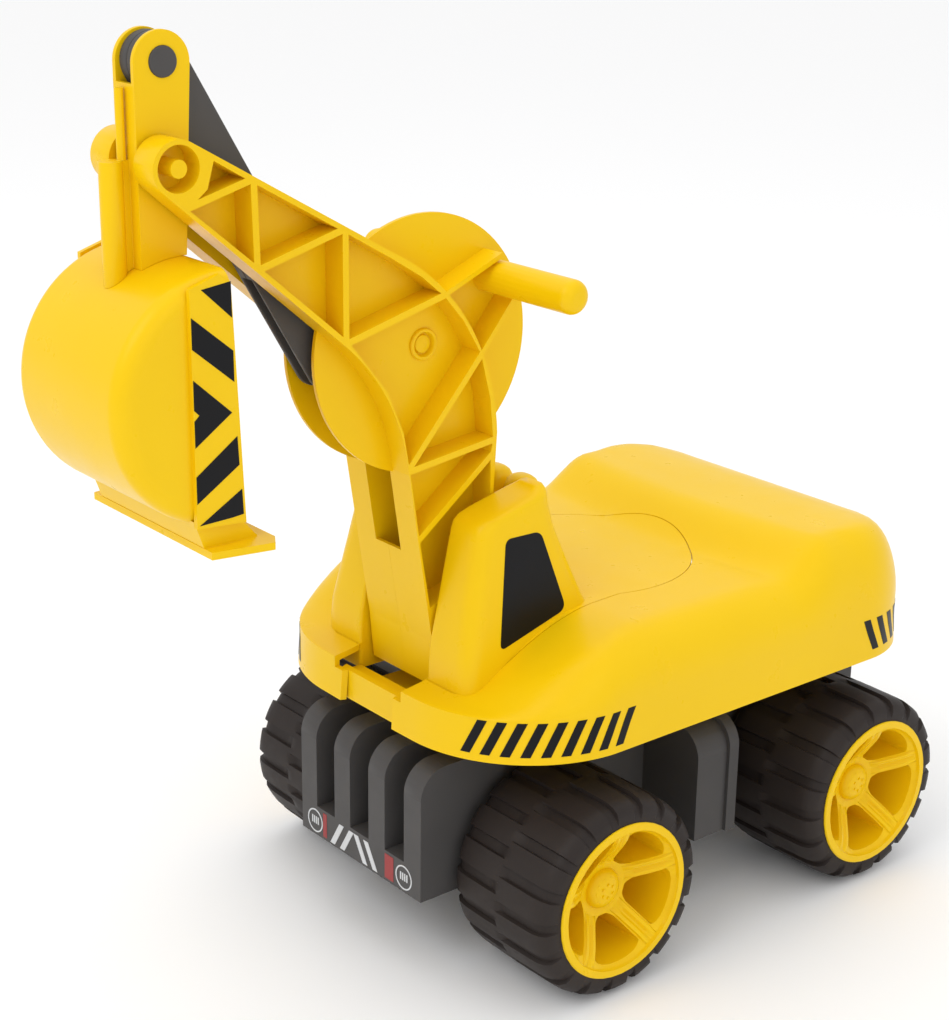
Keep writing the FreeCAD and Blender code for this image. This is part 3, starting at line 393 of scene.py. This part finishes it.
def dome(points, faces, centre, side, radius, height, rings, count, base):
    """Add a closed dome that stands on the plane x = base."""
    start = len(points)
    for k in range(rings):
        turn = k / rings * math.pi / 2
        r, x = radius * math.cos(turn) ** 0.6, base + height * math.sin(turn)
        for i in range(count):
            a = 2 * math.pi * i / count
            points.append((side * x, centre[0] + r * math.sin(a), centre[1] + r * math.cos(a)))
    faces += [tuple(start + i for i in face) for face in grid_faces(rings, count, flip=side < 0)]
    top, last = len(points), start + (rings - 1) * count
    points.append((side * (base + height), centre[0], centre[1]))
    for i in range(count):
        a, b = last + i, last + (i + 1) % count
        faces.append((a, b, top) if side > 0 else (a, top, b))
    bottom = tuple(start + i for i in range(count))
    faces.append(bottom if side > 0 else bottom[::-1])


def hub_cap(name, body, side, y0):
    """Low dome with two rings of small raised dots."""
    points, faces = [], []
    dome(points, faces, (y0, WHEEL_Z), side, 12.4, 6.0, 7, 40, CAP_FOOT)
    for ring_radius, number, rise, shift in ((4.2, 6, 4.9, 0.0), (8.0, 10, 3.55, 0.5)):
        for k in range(number):
            a = 2 * math.pi * (k + shift) / number
            centre = (y0 + ring_radius * math.sin(a), WHEEL_Z + ring_radius * math.cos(a))
            dome(points, faces, centre, side, 1.1, 1.9, 3, 10, CAP_FOOT + rise)
    wheel_piece(name, points, faces, YELLOW, body, sharp=40)


def make_wheels():
    for end, y0 in (("front", -AXLE_REACH), ("rear", AXLE_REACH)):
        for word, side in (("left", 1), ("right", -1)):
            for build in (tyre, rim, hub_cap):
                wheel = f"{end}_{word}"
                build(f"visual_{build.__name__}_{wheel}", f"wheel_{wheel}", side, y0)


# ---------------------------------------------------------------- deck, cabs and seat pad

def arc_points(a, b, c, steps):
    """Points after a up to c on the circle through a, b and c."""
    (ax, ay), (bx, by), (cx, cy) = a, b, c
    d = 2 * (ax * (by - cy) + bx * (cy - ay) + cx * (ay - by))
    ux = ((ax**2 + ay**2) * (by - cy) + (bx**2 + by**2) * (cy - ay) + (cx**2 + cy**2) * (ay - by)) / d
    uy = ((ax**2 + ay**2) * (cx - bx) + (bx**2 + by**2) * (ax - cx) + (cx**2 + cy**2) * (bx - ax)) / d
    radius = math.hypot(ax - ux, ay - uy)
    first, mid, last = (math.atan2(y - uy, x - ux) for x, y in (a, b, c))
    turn = (last - first) % (2 * math.pi)
    if (mid - first) % (2 * math.pi) > turn:
        turn -= 2 * math.pi
    return [(ux + radius * math.cos(first + turn * k / steps), uy + radius * math.sin(first + turn * k / steps))
            for k in range(1, steps + 1)]


def deck_plan(count=240):
    """Closed plan of the deck's lower edge, evenly spaced, starting at the middle of the nose."""
    nose = 46.4
    half = [(0.0, -186.0), (nose * 0.6, -186.0), (nose, -185.6)]
    half += arc_points((nose, -185.6), (103.2, -161.5), (128.8, -106.0), 30)
    half += [(128.8, 117.0)]
    half += arc_points((128.8, 117.0), (111.2, 159.4), (69.0, 176.8), 20)
    half += [(0.0, 176.8)]
    loop = np.array(half + [(-x, y) for x, y in half[-2:0:-1]] + [half[0]])
    steps = np.hypot(*np.diff(loop, axis=0).T)
    along = np.concatenate([[0], np.cumsum(steps)])
    wanted = np.linspace(0, along[-1], count, endpoint=False)
    return np.column_stack([np.interp(wanted, along, loop[:, 0]), np.interp(wanted, along, loop[:, 1])])


PLAN = deck_plan()
# Y and height along the deck's middle, before the rear bolster is added
CREST = [(-186, 173.6), (-176, 174.4), (-167, 175.6), (-154, 180), (-139, 189), (-122, 198), (-105, 205.5),
         (-90, 210), (-75, 211.8), (200, 212)]
SHOULDER = 25.0  # how far in from the edge the shoulder reaches the crest
REAR_FALL = [(110, 0), (125, 0.6), (138, 2.2), (150, 5.5), (160, 10.5), (168, 16.0), (177, 24.0)]
SKIRT = [(147, 0.0), (153, 0.45), (160, 0.9), (165, 1.2)]  # height and how far the skirt leans in


def plan_distance(x, y):
    """Shortest distance from a point inside the plan to its edge."""
    a, b = PLAN, np.roll(PLAN, -1, axis=0)
    ab, ap = b - a, np.array([x, y]) - a
    t = np.clip((ap * ab).sum(1) / (ab * ab).sum(1), 0, 1)
    return float(np.hypot(*(ap - ab * t[:, None]).T).min())


def deck_height(x, y, d=None):
    """Height of the deck's top surface."""
    d = plan_distance(x, y) if d is None else d
    brim = 172.6 + 4.0 * smooth_step(y, 20.0, 120.0)
    crest = blend_points(CREST, y)
    foot = 34.0 + 12.0 * min(1.0, abs(x) / 110.0) ** 2
    crest += 19.0 * smooth_step(y, foot, foot + 38.0)
    crest -= blend_points(REAR_FALL, y)
    shoulder = (1.0 - (1.0 - min(1.0, max(0.0, d - 1.2) / SHOULDER)) ** 2.2) ** 0.5
    return brim + (crest - brim) * shoulder


def deck_skin(wall):
    """Rings of points from the skirt's lower edge up over the shoulder to the middle, moved in by wall."""
    centre = np.array([0.0, -8.0])
    following, previous = np.roll(PLAN, -1, axis=0), np.roll(PLAN, 1, axis=0)
    tangent = (following - previous) / np.linalg.norm(following - previous, axis=1)[:, None]
    normal = np.column_stack([tangent[:, 1], -tangent[:, 0]])
    rays = PLAN - centre
    reach = np.abs((rays * normal).sum(1))

    def spots(scale):
        return [centre + ray * s for ray, s in zip(rays, scale)]

    rings = []
    for z, d in SKIRT:
        rings.append([(*spot, float(z)) for spot in spots(1 - (d + wall) / reach)])
    for d in (1.25, 1.5, 2.0, 2.8, 4.0, 5.6, 7.6, 10.0, 13.0, 16.5, 20.5, SHOULDER):
        rings.append([(*spot, deck_height(*spot, d) - wall) for spot in spots(1 - (d + wall) / reach)])
    inner_rings = 19
    edge = 1 - (SHOULDER + wall) / reach
    for k in range(1, inner_rings):
        rings.append([(*spot, deck_height(*spot) - wall) for spot in spots(edge * (1 - k / inner_rings))])
    return rings, (*centre, deck_height(*centre) - wall)


def deck_solid(name):
    """Closed deck shell, 3.5 mm thick and open below."""
    outer, outer_top = deck_skin(0.0)
    inner, inner_top = deck_skin(3.5)
    count, rows = len(PLAN), len(inner) + len(outer)
    points = [p for ring in inner[::-1] + outer for p in ring] + [inner_top, outer_top]
    faces = grid_faces(rows, count)
    last = (rows - 1) * count
    for i in range(count):
        j = (i + 1) % count
        faces.append((j, i, len(points) - 2))
        faces.append((last + i, last + j, len(points) - 1))
    return raw_object(name, points, faces)


def insert_plan(gap):
    """Plan of the cab insert: a cab base each side of the boom's slot, opening into the round seat pad."""
    radius, cy = 72.5 + gap, -22.0
    inner, outer, front = SLOT_HALF - gap, 70.0 + gap, -166.0 - gap
    join = math.asin((-48.0 - cy) / radius)
    right = [(inner, -88.0 + gap), (inner, front), (outer - 17, front)]
    right += arc_points((outer - 17, front), (outer - 4.6, front + 5.4), (outer - 1.5, front + 19), 10)
    right += [(outer, -92.0)]
    turns = [join + (math.pi - 2 * join) * k / 72 for k in range(73)]
    pad = [(radius * math.cos(turn), cy + radius * math.sin(turn)) for turn in turns]
    return right + pad + [(-x, y) for x, y in right[::-1]]


def loft_sections(sections):
    """Points and faces of a closed loft through sections with the same number of points."""
    count = len(sections[0])
    points = [p for section in sections for p in section]
    ends = [tuple(range(count))[::-1], tuple(range(len(points) - count, len(points)))]
    return points, grid_faces(len(sections), count) + ends


def cab_side(z):
    """How far out the cab's side is at a height."""
    return min(69.6, 66.5 - (z - 212.0) * 0.12037)


def cab_points(side):
    """Tapered cab with a sloping nose that rolls over into a rounded roof."""
    roof_front = [(256, -152.1), (266, -149.8), (270, -148.2), (273, -144.5), (275.5, -136.5), (278, -126.0),
                  (280.5, -115.5), (282.5, -108.5), (284, -105.0), (285.2, -103.3), (286, -102.6)]
    rear_face = [(160, -52), (196, -62), (206, -65.5), (216, -71.5), (245, -84), (262, -90.5), (274, -93.0),
                 (282, -94.5), (287, -96.0), (288.7, -98.5)]
    sections = []
    for z in (160, 172, 184, 196, 206, 216, 230, 245, 256, 262, 266, 270, 271.6, 273, 274.2, 275.5, 278, 280.5,
              282.5, 284, 285.2, 286):
        outer = cab_side(z) - 7.0 * smooth_step(z, 280, 288)
        front = max(-165.6, -161.5 + (z - 212.0) * 0.213)
        if z > 256:
            front = blend_points(roof_front, z)
        rear = blend_points(rear_face, z)
        inner = 32.6 + 5.0 * smooth_step(z, 281, 288)
        corners = [(inner, front), (outer, front), (outer, rear), (inner, rear)]
        room = min(rear - front, outer - inner) * 0.48
        radii = [min(radius, room) for radius in (2.5, 11.0, 12.0, 2.5)]
        sections.append([(side * x, y, z) for x, y in rounded_polygon(corners, radii, 6)])
    return loft_sections(sections)


def hump_points(side):
    """Round-topped hump behind the boom's slot."""
    middle = 12.2
    sections = []
    for z, half, front, rear in ((200, 12.0, -88, -50), (212, 11.8, -88, -58), (225, 11.5, -88, -62.5),
                                 (250, 11.2, -88, -66), (266, 11.0, -88, -68), (272, 10.2, -87.4, -69.4),
                                 (275.5, 8.6, -86.0, -71.2), (277.4, 6.2, -84.0, -73.6), (278.2, 3.4, -81.5, -76)):
        corners = [(middle - half, front), (middle + half, front), (middle + half, rear), (middle - half, rear)]
        ring = rounded_polygon(corners, [half * 0.85] * 4, 5)
        sections.append([(side * x, y, z) for x, y in ring])
    return loft_sections(sections)


def make_deck():
    """Deck shell with the well for the cab insert and the boom's slot cut out, and the insert's own skin."""
    deck, insert = deck_solid("visual_upper_body"), deck_solid("visual_cab_insert")
    well = prism("well", insert_plan(0.55), 151.6, 300)
    notch = prism("notch", block_outline(SLOT_HALF, -176, -86), 140, 300)
    sill = prism("sill", block_outline(SLOT_HALF, -195, -170), 166, 300)
    nose = prism("nose", [(-29, -195), (29, -195), (23, -180), (-23, -180)], 140, 300)
    boolean(deck, "DIFFERENCE", well, notch, sill, nose)
    finish_piece(deck, YELLOW, "upper_body", ("upper_body",))
    outline = [p for p in PLAN * np.array([0.962, 0.975]) if -112 < p[1] < 70]
    right = sorted([p for p in outline if p[0] > 0], key=lambda p: p[1])
    left = sorted([p for p in outline if p[0] < 0], key=lambda p: -p[1])
    plate = prism("visual_deck_floor", [tuple(p) for p in right + left], 147.2, 151.5)
    finish_piece(plate, YELLOW, "upper_body", ("upper_body",))
    boolean(insert, "INTERSECT", prism("inside", insert_plan(0.0), 140, 300))
    finish_piece(insert, YELLOW, "upper_body", ("cab_insert",))


def make_cabs():
    for word, side in (("left", 1), ("right", -1)):
        cab = raw_object(f"visual_cab_{word}", *cab_points(side))
        finish_piece(cab, YELLOW, "upper_body", ("cab_insert",), sharp=50)
        hump = raw_object(f"visual_hump_{word}", *hump_points(side))
        finish_piece(hump, YELLOW, "upper_body", ("cab_insert",), sharp=50)
        outline = rounded_polygon(WINDOW_CORNERS, [3, 6, 7, 5], 6)
        points = [(side * (cab_side(z) + lift), y, z) for lift in (-0.3, 0.25) for y, z in outline]
        pane = raw_object(f"visual_window_{word}", points, prism_faces(len(outline)))
        finish_piece(pane, BLACK, "upper_body", (f"window_{word}",))


def make_nose():
    """Low wall, ledge and floor in front of the boom's foot, and the wall behind it."""
    front_wall = [(-30, -181.0), (30, -181.0), (32, -176.5), (-32, -176.5)]
    for name, outline, low, high in (("nose_wall", front_wall, 147.4, 165.9),
                                     ("nose_ledge", block_outline(32.2, -177.5, -165.8), 151.7, 162.5),
                                     ("nose_floor", block_outline(32.2, -176.4, -112.5), 147.4, 150.6)):
        finish_piece(prism(name, outline, low, high), YELLOW, "upper_body")
    wall = prism("visual_cab_wall", block_outline(33, -88, -84.5), 151.7, 262)
    finish_piece(wall, YELLOW, "upper_body", ("cab_insert",))


# ---------------------------------------------------------------- stickers, elbow hub and soft edges

def skirt_point(index, z, lift):
    """Point on the skirt at a fractional place along the plan and a height, lifted off the surface."""
    count = len(PLAN)
    low, part = int(math.floor(index)) % count, index - math.floor(index)
    here = PLAN[low] * (1 - part) + PLAN[(low + 1) % count] * part
    along = PLAN[(low + 1) % count] - PLAN[low]
    along = along / np.linalg.norm(along)
    outwards = np.array([along[1], -along[0]])
    inset = blend_points(SKIRT + [(180, 1.25)], z)
    return (*(here + outwards * (lift - inset)), z)


def hazard_band(name, first, last, low, high, lean, number):
    """Slanted black stripes on the skirt between two places on the plan."""
    points, faces = [], []
    span = (last - first - abs(lean)) / (number - 0.5)
    rows, columns = 6, 4
    layer = rows * columns
    for stripe in range(number):
        start = len(points)
        for lift in (-0.15, 0.22):
            for k in range(rows):
                z = low + (high - low) * k / 5
                shift = lean * k / 5 if lean > 0 else lean * (k / 5 - 1)
                for m in range(columns):
                    points.append(skirt_point(first + stripe * span + shift + span * 0.5 * m / 3, z, lift))
        for k in range(rows - 1):
            for m in range(columns - 1):
                a = start + k * columns + m
                faces.append((a, a + 4, a + 5, a + 1))
                faces.append((a + layer, a + layer + 1, a + layer + 5, a + layer + 4))
        border = [0, 4, 8, 12, 16, 20, 21, 22, 23, 19, 15, 11, 7, 3, 2, 1]
        for a, b in zip(border, border[1:] + border[:1]):
            faces.append((start + a, start + b, start + b + layer, start + a + layer))
    finish_piece(raw_object(name, points, faces), BLACK, "upper_body")


def thin_plates(name, outlines, place, material, body):
    """Closed thin plates; place(u, v, lift) turns each outline's corners into design points."""
    points, faces = [], []
    for outline in outlines:
        faces += prism_faces(len(outline), len(points))
        points += [place(u, v, lift) for lift in (-0.1, 0.2) for u, v in outline]
    finish_piece(raw_object(name, points, faces), material, body)


def half_ring(cx, cy, inner, outer, start):
    """Outline of half a flat ring that begins at an angle in degrees."""
    turns = [math.radians(start + 9.0 * k) for k in range(21)]
    arcs = [[(cx + r * math.cos(turn), cy + r * math.sin(turn)) for turn in turns] for r in (outer, inner)]
    return arcs[0] + arcs[1][::-1]


def make_stickers():
    count = len(PLAN)
    for word, sign in (("left", 1), ("right", -1)):
        front, rear = (17.2, 40.6), (83.0, 105.0)
        if sign < 0:
            front, rear = [(count - last, count - first) for first, last in (front, rear)]
        hazard_band(f"stripes_front_{word}", *front, 151.5, 172.0, 2.1 * sign, 9)
        hazard_band(f"stripes_rear_{word}", *rear, 153.0, 174.0, -2.1 * sign, 8)
        thin_plates(f"stripes_blade_{word}", BLADE_STRIPES, lambda y, z, lift, s=sign: (s * (55.0 + lift), y, z),
                    BLACK, "stick")
    front_y = (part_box("chassis_frame")[0][1] - MID_Y) / MM

    def on_sill(x, z, lift):
        return (x, front_y - lift, z)

    def bar(x, low, width, height, lean=0.0):
        return [(x, low), (x + width, low), (x + width + lean, low + height), (x + lean, low + height)]

    white = [bar(x, 51.5, 4.6, 16.0, lean) for x, lean in ((-30.0, 9.5), (-20.0, 9.5), (3.6, -9.5), (13.6, -9.5))]
    for cx in (-46.0, 44.0):
        white += [half_ring(cx, 59.6, 6.9, 7.8, start) for start in (0.0, 180.0)]
        white += [bar(cx + dx, 57.6, 1.1, 5.0) for dx in (-3.4, -1.4, 0.6, 2.6)]
    thin_plates("sill_marks_white", white, on_sill, WHITE, "chassis")
    red = [bar(-37.6, 52.0, 3.8, 16.0), bar(25.6, 52.0, 8.4, 16.0)]
    thin_plates("sill_marks_red", red, on_sill, RED, "chassis")


def turned(profile, centre, count=48):
    """Closed turning about an axis along X through centre; profile is a closed loop of (x, radius)."""
    points = []
    for x, r in profile:
        for k in range(count):
            a = 2 * math.pi * k / count
            points.append((x, centre[0] + r * math.sin(a), centre[1] + r * math.cos(a)))
    return points, grid_faces(len(profile), count, wrap_rows=True)


def make_elbow():
    """Elbow hub with a raised ring and sunken middle on each face."""
    half = [(11.9, 4.9), (11.9, 8.45), (14.55, 8.45), (14.55, 9.2), (15.6, 9.2), (16.2, 8.6), (16.2, 7.2),
            (15.4, 6.6), (13.2, 6.2), (13.0, 5.6), (14.4, 5.0), (14.6, 4.6), (14.6, 0.15)]
    profile = [(-x, r) for x, r in half[::-1]] + half
    hub = raw_object("visual_elbow_hub", *turned(profile, ELBOW))
    finish_piece(hub, YELLOW, "boom", ("elbow_hub",), sharp=40)


def soften_cad_edges():
    """Small moulded rounding on the carried-over CAD pieces."""
    width = {"boom_half_left": 0.9, "boom_half_right": 0.9, "bucket": 1.2, "stick": 1.0, "chassis_frame": 2.0,
             "rod_half_left": 0.8, "rod_half_right": 0.8, "stick_head_pin": 0.7, "boom_tip_pin": 0.6}
    for node, size in width.items():
        obj = nodes[node]
        weld = obj.modifiers.new("weld", "WELD")
        weld.merge_threshold = 0.00001
        planar = obj.modifiers.new("planar", "DECIMATE")
        planar.decimate_type, planar.angle_limit = "DISSOLVE", math.radians(1.0)
        bevel = obj.modifiers.new("bevel", "BEVEL")
        bevel.width, bevel.segments, bevel.limit_method = size * MM, 3, "ANGLE"
        bevel.angle_limit, bevel.use_clamp_overlap, bevel.harden_normals = math.radians(40), True, True


make_camera()
make_studio()
paint_cad_nodes()
make_wheels()
make_deck()
make_cabs()
make_nose()
make_stickers()
make_elbow()
soften_cad_edges()
